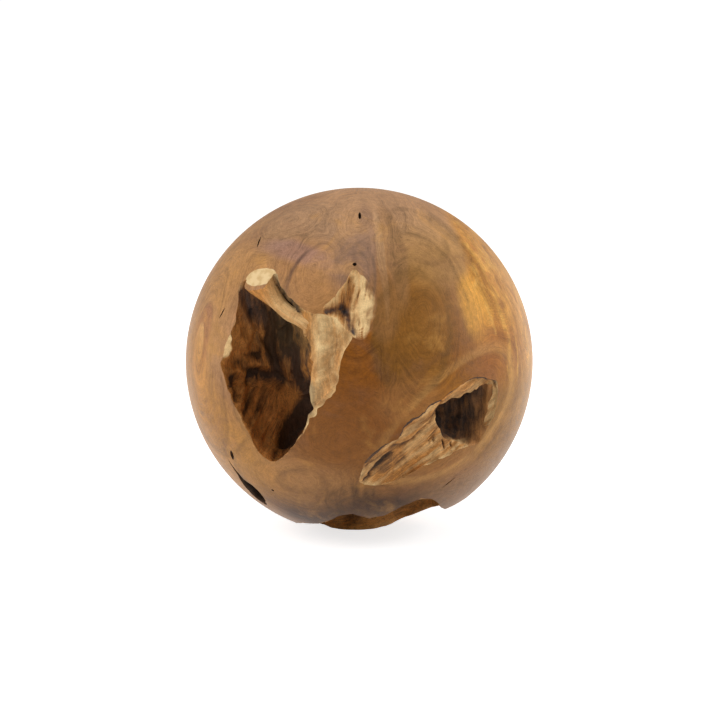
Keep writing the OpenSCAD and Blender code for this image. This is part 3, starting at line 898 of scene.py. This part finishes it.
def set_normals(mesh):
    """Skin: n = (p - c) / |p - c|. Flat: straight down. Walls: the sum of
    (face normal * area) at the point, made one long."""
    co, normal = read(mesh.vertices, "co", 3), read(mesh.polygons, "normal", 3)
    area, inner = read(mesh.polygons, "area"), read(mesh.attributes["inner"].data, "value")
    vert = read(mesh.loops, "vertex_index", kind=np.int32)
    start = read(mesh.polygons, "loop_start", kind=np.int32)
    face = np.repeat(np.arange(len(start)), read(mesh.polygons, "loop_total", kind=np.int32))
    wall = inner[start][face] > ON_WALL
    radial = unit(co - np.array([0, 0, CENTRE_Z * MM]))
    flat = (normal[face][:, 2] < -0.999) & (co[vert][:, 2] < 1e-5)
    mean = np.zeros(co.shape)
    np.add.at(mean, vert[wall], (normal * area[:, None])[face][wall])
    normals = np.where(flat[:, None], (0, 0, -1), radial[vert])
    normals = np.where(wall[:, None], unit(mean)[vert], normals)
    mesh.polygons.foreach_set("use_smooth", np.ones(len(start), bool))
    mesh.normals_split_custom_set(normals.tolist())
    return int(wall.sum())


print(set_normals(ball.data), "wall corners of", len(ball.data.loops))

# %% [markdown]
# ## Writing a material
#
# A material is a net of nodes, usually joined by hand. This one has hundreds,
# so it is written as formulas: `Wire` wraps one output of a node, and plus,
# minus and times on wires add Math nodes. `add` adds any other node. The last
# node of a net has no output, so its wire is empty.

# %% Wires
class Wire:
    """An output socket that can be used in a formula."""

    tree = None

    def __init__(self, socket):
        self.socket = socket

    @classmethod
    def add(cls, kind, inputs=(), out=0, **settings):
        """Adds a node, plugs its inputs (by name or number) and gives one output."""
        node = cls.tree.nodes.new(kind)
        for key, value in settings.items():
            setattr(node, key, value)
        for key, value in dict(inputs).items():
            if isinstance(value, Wire):
                cls.tree.links.new(value.socket, node.inputs[key])
            else:
                node.inputs[key].default_value = value
        return cls(node.outputs[out] if node.outputs else None)

    def math(self, op, *others):
        """One Math node with this wire first."""
        return self.add("ShaderNodeMath", dict(enumerate([self, *others])), operation=op)

    def vector(self, op, *others):
        """One Vector Math node with this wire first."""
        return self.add("ShaderNodeVectorMath", dict(enumerate([self, *others])), operation=op)

    def __add__(self, other):
        return self.math("ADD", other)

    def __sub__(self, other):
        return self.math("SUBTRACT", other)

    def __mul__(self, other):
        return self.math("MULTIPLY", other)

    __radd__, __rmul__ = __add__, __mul__

    def __rsub__(self, other):
        return (self * -1.0) + other

    def clamp(self):
        """Kept from 0 to 1."""
        return self.add("ShaderNodeClamp", {0: self})

    def ramp(self, low, high, to_low=0.0, to_high=1.0):
        """Smooth step from low to high."""
        return self.add("ShaderNodeMapRange", {0: self, 1: low, 2: high, 3: to_low, 4: to_high},
                        interpolation_type="SMOOTHSTEP")

    def noise(self, scale, detail=2.0, rough=0.5, distort=0.0, out="Fac"):
        """Noise read at this place."""
        return self.add("ShaderNodeTexNoise", {"Vector": self, "Scale": scale, "Detail": detail,
                                               "Roughness": rough, "Distortion": distort}, out)

    def stripes(self, scale, detail=3.0, rough=0.6):
        """Uneven bands of a plain number."""
        return self.add("ShaderNodeTexNoise", noise_dimensions="1D", inputs={
            "W": self, "Scale": scale, "Detail": detail, "Roughness": rough})

    def crease(self, low, high):
        """How near to a half a number is: ramp of |n - 1/2|."""
        return (self - 0.5).math("ABSOLUTE").ramp(low, high)


def open_tree(owner):
    """Empties the node tree of a material or world, and lets Wire write in it."""
    owner.use_nodes = True
    Wire.tree = owner.node_tree
    Wire.tree.nodes.clear()
    return owner


def counted(what):
    """Prints how many nodes the tree has by now."""
    print(what + ":", len(Wire.tree.nodes), "nodes")


print("a wire knows:", *[name for name in vars(Wire) if not name.startswith("_")])

# %% Colours
def colour(code):
    """A colour code as linear light: ((c + 0.055) / 1.055)^2.4."""
    part = [int(code[i:i + 2], 16) / 255 for i in (0, 2, 4)]
    return tuple(c / 12.92 if c <= 0.04045 else ((c + 0.055) / 1.055) ** 2.4 for c in part) + (1.0,)


def mix(a, b, factor):
    """a (1 - factor) + b factor, as colours."""
    return Wire.add("ShaderNodeMix", {0: factor, 6: a, 7: b}, 2, data_type="RGBA")


def paint(base, code, factor):
    """Some of another colour over a base."""
    return mix(base, colour(code), factor)


def tint(base, factor):
    """Colour times a number."""
    base = base if isinstance(base, Wire) else base[:3]
    return Wire.add("ShaderNodeVectorMath", {0: base, 3: factor}, 0, operation="SCALE")


print("sapwood in linear light:", [round(c, 3) for c in colour("EAC890")])

# %% [markdown]
# ## Where a point of the wood is
#
# Wood has its pattern all through, so the material is solid: it is worked out
# from a point's place in the ball, and a wall cuts through it as a saw would. A
# flat texture would need a seam and would stretch in the hollows. `p` is the
# place from the ball's middle in units of its radius. `warped`, `place` and
# `steady` are `p` moved by noise: much, much with a fine ripple, and a little.

# %% A point's place
root_wood = open_tree(bpy.data.materials.new("root_wood"))
HALF = (0.5, 0.5, 0.5)  # the mean of noise read as a colour
WARP, RIPPLE, NUDGE = 0.17, 0.03, 0.05  # how far noise moves a place, in radii of the ball
spot_at = Wire.add("ShaderNodeTexCoord", out="Object")
p = Wire.add("ShaderNodeMapping", {"Vector": spot_at, "Location": (0, 0, CENTRE_Z * MM),
                                   "Scale": (BALL_R * MM,) * 3}, vector_type="TEXTURE")
wobble = p.noise(2.2, 3.0, out="Color").vector("SUBTRACT", HALF)
warped = wobble.vector("MULTIPLY_ADD", (WARP,) * 3, p)
fine = p.noise(9.0, 2.0, out="Color").vector("SUBTRACT", HALF)
place = fine.vector("MULTIPLY_ADD", (RIPPLE,) * 3, warped)
steady = wobble.vector("MULTIPLY_ADD", (NUDGE,) * 3, p)
counted("places")

# %% [markdown]
# ## Growth rings
#
# A root-wood ball has many hearts, because roots twist and meet. Round each,
# the rings are like contour lines. So each heart is an ellipsoid on the skin,
# `far` says how far a point is from it, and the least of all those distances,
# blended smoothly, is the number that the rings are read from. A Wave texture
# has one heart only. `far` uses a Gradient texture, which is the node that
# gives a distance for the least work.

# %% Distance from an ellipsoid
WIDEST = 64.0  # beyond this distance the gradient is flat


def far(point, at, wide, tall, turn=0.0, thick=0.6):
    """Distance from an ellipsoid's middle, 1 on its surface: 64 (1 - g), with the round
    fade g = 1 - |q| / 64 and q the point in the ellipsoid's own frame, over its radii."""
    frame_at = axes(*at)
    c, s = math.cos(math.radians(turn)), math.sin(math.radians(turn))
    spin = np.array([(c, -s, 0), (s, c, 0), (0, 0, 1)])
    fade = Wire.add("ShaderNodeTexGradient", {"Vector": point}, "Fac", gradient_type="SPHERICAL")
    own = fade.socket.node.texture_mapping
    own.vector_type = "TEXTURE"
    own.translation = tuple(frame_at[:, 2])
    own.rotation = Matrix((frame_at @ spin).tolist()).to_euler()
    own.scale = (wide * WIDEST, tall * WIDEST, thick * WIDEST)
    return fade.math("MULTIPLY_ADD", -WIDEST, WIDEST)


FIGURES = [  # place, width, height, turn and head start of each heart of the rings
    ((23, 22), 0.30, 0.52, 0, 0.0), ((-7, -14), 0.34, 0.30, 0, 0.0), ((-22, -33), 0.22, 0.16, 0, 0.0),
    ((26, -16), 0.62, 0.24, 37, 0.0), ((-18, 40), 0.22, 0.40, 0, 0.05), ((-1, 31), 0.16, 0.30, 0, 0.0),
    ((-28, 2), 0.40, 0.56, -6, 0.05), ((-64, 11), 0.10, 0.24, 4, 0.0), ((74, 25), 0.22, 1.05, -6, 0.12),
    ((0, 64), 0.10, 0.20, 0, 0.05), ((11, 45), 0.04, 0.50, -2, 0.04),
    ((-48, 60), 0.28, 0.22, 20, 0.08), ((30, -48), 0.6, 0.28, 20, 0.15),
    ((150, 30), 0.5, 0.4, 0, 0.05), ((190, -20), 0.4, 0.5, 30, 0.0), ((118, 0), 0.35, 0.6, 0, 0.05),
    ((-120, 10), 0.35, 0.5, 0, 0.0), ((-150, 50), 0.4, 0.3, 0, 0.1)]
print(len(FIGURES), "hearts")

# %% Rings, pores and mottling
rings = None
for at, wide, tall, turn, start in FIGURES:
    heart = far(place, at, wide, tall, turn).math("MULTIPLY_ADD", math.sqrt(wide * tall), start)
    rings = heart if rings is None else rings.math("SMOOTH_MIN", heart, 0.06)
broad = rings.stripes(9.0, 2.0, 0.5) - 0.5
thin = rings.stripes(52.0, 2.0, 0.6) - 0.5
vein = rings.stripes(15.0, 1.0, 0.5).crease(0.03, 0.0)
along = Wire.add("ShaderNodeCombineXYZ", {0: rings * 44.0, 1: p.noise(2.6, 1.0) * 9.0,
                                          2: p.noise(1.9, 1.0) * 7.0})
pores = along.noise(5.0, 3.0, 0.7) - 0.5
mottle = p.noise(26.0, 3.0, 0.65) - 0.5
grit = p.noise(140.0, 2.0, 0.6) - 0.5
seen = p.noise(2.4, 2.0).ramp(0.36, 0.58)  # where the rings show
counted("rings")

# %% [markdown]
# ## Colour zones of the skin
#
# Heartwood, sapwood and stained wood lie in patches with their own shapes: a
# gold one at the right, browns round the middle, grey-brown at the top. They
# could be painted by hand on a texture. Here each is an ellipsoid again, with
# its colour, so that it runs into the wood and can be moved by one number.

# %% Zones
ZONES = [  # place, width, height, turn, colour, strength, softness
    ((12, 0), 0.80, 0.72, 0, "8C5A22", 0.9, 0.9), ((8, 6), 0.44, 0.38, 0, "844A0A", 0.85, 0.9),
    ((18, 18.5), 0.235, 0.345, -9, "684716", 0.7, 0.28),
    ((20.5, 21.5), 0.235, 0.325, -9, "83551F", 0.85, 0.35),
    ((38, 47), 0.28, 0.26, 0, "AA804C", 0.75, 0.8), ((-4, -14), 0.38, 0.28, 0, "7C4A1C", 0.7, 0.9),
    ((-4, -50), 0.62, 0.24, 0, "46290F", 0.9, 0.8), ((-23, -36), 0.34, 0.18, 0, "A07244", 0.7, 0.9),
    ((76, 30), 0.38, 0.66, -37, "BC7E2A", 0.9, 0.22), ((46, 24), 0.12, 0.20, -6, "D89A3A", 0.75, 0.6),
    ((60, 20), 0.06, 0.34, -6, "D8A048", 0.5, 0.5), ((62, 34), 0.035, 0.22, -10, "A4602C", 0.6, 0.5),
    ((55, 8), 0.24, 0.20, 0, "985A22", 0.85, 0.9), ((84, 8), 0.36, 0.6, 0, "CA9452", 0.8, 1.6),
    ((60, -18), 0.30, 0.34, 0, "8E6226", 0.85, 0.9), ((60, -40), 0.42, 0.24, 10, "8C6845", 0.7, 0.9),
    ((-62, -26), 0.42, 0.40, 15, "B07A32", 0.85, 0.9), ((-76, 22), 0.42, 0.60, 0, "AE8050", 0.7, 0.9),
    ((-60, 46), 0.34, 0.28, 0, "AC7C48", 0.6, 0.9), ((-44, 58), 0.30, 0.22, 0, "937050", 0.7, 0.9),
    ((0, 66), 0.46, 0.24, 0, "A27C5A", 0.7, 0.9), ((-18, 36), 0.25, 0.28, 0, "A47444", 0.8, 0.9),
    ((-3, 45), 0.14, 0.20, 0, "80604C", 0.8, 0.9), ((5, 52), 0.045, 0.34, 0, "8A6850", 0.6, 0.5),
    ((17, 48), 0.06, 0.36, -3, "8C6640", 0.6, 0.5), ((10.5, 46), 0.022, 0.38, -2, "A88662", 0.35, 0.5),
    ((8, 27), 0.10, 0.20, 0, "8C6238", 0.6, 0.5), ((-30, 46), 0.26, 0.07, -10, "94706A", 0.5, 0.9),
    ((-64.5, 12), 0.105, 0.20, 4, "9C6A4A", 0.7, 0.2),
    ((-66, 9.5), 0.066, 0.125, 4, "C89A66", 0.9, 0.25),
    ((180, 20), 0.7, 0.7, 0, "8A5A2C", 0.6, 0.9), ((-120, -20), 0.5, 0.6, 0, "B08048", 0.5, 0.9),
    ((120, 30), 0.4, 0.6, 0, "BC853E", 0.6, 0.9),
    ((27, 0), 0.16, 0.11, 0, "98621E", 0.6, 0.9), ((16, -3), 0.18, 0.12, 20, "9A6634", 0.7, 0.9),
    ((-70, -6), 0.24, 0.34, 0, "B07628", 0.8, 1.0)]

SMALL = 0.12  # a narrower zone is moved less by the noise
skin_tone = mix(colour("B08258"), colour("966A44"), p.noise(1.6, 3.0).ramp(0.4, 0.62))
patch = p.noise(3.4, 4.0, 0.6, 0.6)  # soft blotches, used again for stains and gloss
for at, wide, tall, turn, code, strength, soft in ZONES:
    inside = far(warped if wide > SMALL else steady, at, wide, tall, turn)
    inside = inside.ramp(1.0 + soft / 2, 1.0 - soft / 2, 0.0, strength)
    skin_tone = paint(skin_tone, code, inside)
counted(f"{len(ZONES)} zones")

# %% [markdown]
# ## Flames, flow lines and stains
#
# Curly grain in the gold zone shows as flames, the foot of the ball is streaked
# with dark, and a few zones have an edge of their own, where the grain flows
# round a knot. Flames are noise drawn out one way. An edge is a thin band of
# the same ellipsoids, broken by noise so that it doesn't look drawn.

# %% Flames and the dark foot
flames = Wire.add("ShaderNodeMapping", {"Vector": warped, "Rotation": (0.0, 0.3, 0.0),
                                        "Scale": (1, 1, 0.14)}).noise(13.0, 3.0, 0.6, 0.3)
gold = far(warped, (76, 30), 0.38, 0.60, -37).ramp(1.08, 0.88)
skin_tone = paint(skin_tone, "96602C", gold * flames.ramp(0.49, 0.68) * 0.55)  # brown flames
skin_tone = paint(skin_tone, "DCA650", gold * flames.ramp(0.50, 0.36) * 0.55)  # light between
licks = Wire.add("ShaderNodeMapping", {"Vector": warped, "Scale": (1, 0.2, 0.2)})
licks = licks.noise(15.0, 3.0, 0.6, 0.3)
foot = far(warped, (2, -44), 0.30, 0.20).ramp(1.15, 0.6)
skin_tone = paint(skin_tone, "341E0A", foot * licks.ramp(0.40, 0.66) * 0.6)
counted("flames")

# %% Edges of zones
OUTLINES = [  # place, width, height, turn, colour, strength, fade inwards, fade outwards
    ((33.5, -10.5), 0.50, 0.27, 36, "CC9A58", 0.32, 0.10, 0.16),
    ((34, -10), 0.58, 0.35, 36, "6A4426", 0.25, 0.06, 0.08),
    ((-15, 36), 0.185, 0.26, -14, "543A30", 0.85, 0.12, 0.12),
    ((18, 18.5), 0.235, 0.345, -9, "5C4018", 0.3, 0.14, 0.06),
    ((-64.5, 12), 0.108, 0.205, 4, "6E4A34", 0.6, 0.14, 0.12),
    ((-66, 9.5), 0.07, 0.13, 4, "7A5034", 0.7, 0.12, 0.12),
    ((-1.8, 38), 0.12, 0.24, 0, "5A4438", 0.45, 0.16, 0.08),
    ((-1.8, 39), 0.085, 0.15, 0, "644C3C", 0.35, 0.16, 0.08),
    ((34, 54), 0.17, 0.24, -8, "5E4424", 0.28, 0.3, 0.08),
    ((76, 30), 0.375, 0.65, -37, "7C4E26", 0.5, 0.02, 0.08),
    ((-23, -33), 0.15, 0.09, 10, "5C4028", 0.32, 0.5, 0.25)]

LOW = 0.28  # an edge lower than this is moved less by the noise
gaps = p.noise(3.0, 2.0).ramp(0.36, 0.56)
for at, wide, tall, turn, code, strength, within, beyond in OUTLINES:
    edge_at = far(warped if tall > LOW else steady, at, wide, tall, turn)
    line = edge_at.ramp(1.0 - within, 0.98, 0.0, strength) * edge_at.ramp(1.0 + beyond, 1.0)
    skin_tone = paint(skin_tone, code, line * gaps)
counted(f"{len(OUTLINES)} edges")

# %% Stains, and the rings over all colours
skin_tone = paint(skin_tone, "80583E", patch.ramp(0.52, 0.74) * 0.4)  # brown stains
skin_tone = paint(skin_tone, "C08A44", patch.ramp(0.47, 0.28) * 0.40)  # honey between them
arched = far(warped, (36, 46), 0.36, 0.42).ramp(1.2, 0.6)  # two places with bold rings
arched = arched + far(warped, (-58, -20), 0.36, 0.50, 20).ramp(1.2, 0.7)
light = 1.0 + broad * (arched * 0.9 + 0.42) + thin * seen * 0.55 + pores * 0.85
light = light + mottle * 0.7 + grit * 0.5 - vein * seen * 0.12
skin_tone = tint(skin_tone, light)
counted("skin")

# %% [markdown]
# ## The walls' wood, with painted shade
#
# Inside the hollows the wood was never sanded: it is streaked along its fibres,
# split, and pale where sapwood is left, with a painted highlight on the wing's
# crest; shade is painted in too, darker with depth, in creases and behind the
# root, down to black. All this follows the carving, so it reads the numbers that
# ride on the mesh through Attribute nodes. Ambient occlusion could darken the
# depths, but it wouldn't know red rot from sapwood.

# %% Tone of the walls
inner, pale, gloom, red, olive, slate = (
    Wire.add("ShaderNodeAttribute", out="Fac", attribute_name=field) for field in FIELDS)
flow = Wire.add("ShaderNodeAttribute", out="Vector", attribute_name="fibre")
streak = flow.noise(1.6, 4.0, 0.65) - 0.5
cloud = p.noise(9.0, 4.0, 0.62, 0.6)
thread = flow.noise(2.6, 3.0, 0.6).crease(0.0, 0.04)
split = p.noise(16.0, 3.0, 0.55, 1.2).crease(0.0, 0.03)
# Painted shade from the numbers on the mesh, with cloudy and streaky darkening of the grain.
dark = (cloud.ramp(0.36, 0.62) * 0.35 + gloom - 0.2 - streak * 1.1).clamp()
wall_tone = mix(colour("CC8C4A"), colour("544032"), dark)  # honey to dark brown
wall_tone = mix(wall_tone, tint(colour("C08244"), 1.2 - dark), red * 0.55)
wall_tone = mix(wall_tone, tint(colour("8A7044"), 1.0 - dark * 0.7), olive * 0.6)
wall_tone = paint(wall_tone, "524C4C", slate * 0.85)  # the grey of weathered wood
sap_tone = mix(colour("EAC890"), colour("BA9260"), cloud.ramp(0.36, 0.7))  # cream to tan
rugged = 1.0 - pale * 0.72  # sapwood is the smoother wood
# Painted shade: the deepest shade goes on to black.
wall_tone = tint(wall_tone, (2.3 - gloom).clamp())  # gloom past 1.3 goes on to black
wall_tone = mix(wall_tone, sap_tone, pale)
wall_tone = tint(wall_tone, (1.0 + streak * rugged * 1.2) * (1.0 - (1.0 - thread) * rugged * 0.35)
                 * (1.0 - (1.0 - split) * rugged * 0.2) * (grit * 0.5 + 1.0))
counted("walls")

# %% [markdown]
# ## The sawn end and the surface
#
# Where the bridge root was sawn off, its end lies in the skin as a pale oval.
# It is level with the skin, so it needs no shape of its own, only a sharp zone.
# The ball is sanded and waxed thinly: the skin has a soft sheen, the raw walls
# almost none. A coat of lacquer would mirror the lamps. The grain's own relief
# is a Bump of about a millimetre, too fine for the mesh.

# %% The surface
edge = p.noise(26.0, 2.0, out="Color").vector("MULTIPLY_ADD", (0.012,) * 3, p)
sawn = far(edge, (-42, 36), 0.105, 0.056, turn=12, thick=0.2).ramp(1.04, 0.96)
sawn_tone = mix(colour("DEC08E"), colour("CBA873"), p.noise(30.0, 3.0).ramp(0.4, 0.7))
tone = mix(mix(skin_tone, sawn_tone, sawn), wall_tone, inner)
height = mix(grit * 0.4 + mottle * 0.4, (streak + thread * 0.4 + cloud * 0.4) * rugged, inner)
shade = Wire.add("ShaderNodeBump", {"Height": height, "Strength": 0.35, "Distance": 0.0012})
rough_skin = thin * 0.15 + patch * 0.12 + 0.32
gloss = mix(rough_skin, streak * 0.2 + 0.68, inner)
surface = Wire.add("ShaderNodeBsdfPrincipled", {
    "Base Color": tone, "Normal": shade, "Roughness": gloss, "IOR": 1.45, "Specular IOR Level": 0.18})
Wire.add("ShaderNodeOutputMaterial", {"Surface": surface})
counted("wood")

ball.data.materials.clear()
ball.data.materials.append(root_wood)
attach(ball, "root")
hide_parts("ball")

# %% [markdown]
# ## The white floor
#
# The ball stands on a white sheet in bright light. A plain white floor would
# look grey wherever its light falls off. So it also glows a little, but only
# for what looks at it (the camera, the gloss on the wood), not for the wood
# that it would light from below. The ball's shadow stays on its matt part.

# %% The floor
open_tree(bpy.data.materials.new("floor_white"))
looked_at = Wire.add("ShaderNodeLightPath", out="Is Camera Ray")
for ray in ("Is Glossy Ray", "Is Transmission Ray"):
    looked_at = looked_at.math("MAXIMUM", Wire.add("ShaderNodeLightPath", out=ray))
matt = Wire.add("ShaderNodeBsdfDiffuse", {"Color": (0.85, 0.85, 0.85, 1)})
glow = Wire.add("ShaderNodeEmission", {"Color": (1, 1, 1, 1), "Strength": 0.7})
both = Wire.add("ShaderNodeAddShader", {0: matt, 1: glow})
shown = Wire.add("ShaderNodeMixShader", {0: looked_at, 1: matt, 2: both})
Wire.add("ShaderNodeOutputMaterial", {"Surface": shown})

mesh = bpy.data.meshes.new("floor")
mesh.from_pydata([(-30, -30, 0), (30, -30, 0), (30, 60, 0), (-30, 60, 0)], [], [(0, 1, 2, 3)])
floor = bpy.data.objects.new("floor", mesh)
bpy.context.collection.objects.link(floor)
floor.data.materials.append(bpy.data.materials["floor_white"])
print("floor:", [round(w) for w in floor.dimensions], "m")

# %% [markdown]
# ## Lamps, air and lens
#
# The light is soft and even: a wide lamp at each side, one above and a faint
# one behind the right edge, with pale air all round. Small lamps would be
# simpler, but they would draw hard shadows of the rims. The lens is long and
# stands a little above the ball's middle, so that the ball looks round.

# %% The lamps
def soft_light(name, place, size, power):
    """A square area light that looks at the ball's middle: z = (place - middle) / length,
    x = up x z, y = z x x."""
    data = bpy.data.lights.new(name, "AREA")
    data.shape, data.size, data.energy = "SQUARE", size, power
    lamp = bpy.data.objects.new(name, data)
    z = unit(np.array(place) - np.array([0, 0, CENTRE_Z * MM]))
    x = unit(np.cross((0, 0, 1), z))
    turn = np.column_stack([x, np.cross(z, x), z])
    lamp.matrix_world = Matrix.Translation(place) @ Matrix(turn.tolist()).to_4x4()
    bpy.context.collection.objects.link(lamp)
    print(name, power, "W")


soft_light("light_left", (-1.6, -0.5, 1.1), 1.2, 15)
soft_light("light_right", (1.7, -0.2, 0.8), 1.2, 16)
soft_light("light_edge", (1.4, 1.6, 0.5), 1.0, 2.5)
soft_light("light_top", (-0.2, -0.3, 1.9), 1.4, 13)

# %% The air
scene = bpy.context.scene
scene.world = open_tree(bpy.data.worlds.new("room"))
air = Wire.add("ShaderNodeBackground", {"Color": (1, 1, 1, 1), "Strength": 0.42})
Wire.add("ShaderNodeOutputWorld", {"Surface": air})
scene.view_settings.view_transform = "Standard"
counted("air")

# %% The lens
PIXEL = 1 / 720  # of the render's width
lens = bpy.data.cameras.new("camera")
lens.lens, lens.sensor_width = 138.6, 36
lens.shift_x, lens.shift_y = 0.8 * PIXEL, 1.2 * PIXEL
camera = bpy.data.objects.new("camera", lens)
bpy.context.collection.objects.link(camera)
away, above = FAR_OFF * MM * math.cos(LEAN), FAR_OFF * MM * math.sin(LEAN)
camera.location = (0, -away, CENTRE_Z * MM + above)
camera.rotation_euler = (math.radians(90) - LEAN, 0, 0)
scene.camera = camera
print("camera", round(away, 3), "m off,", round(above, 3), "m above the middle")
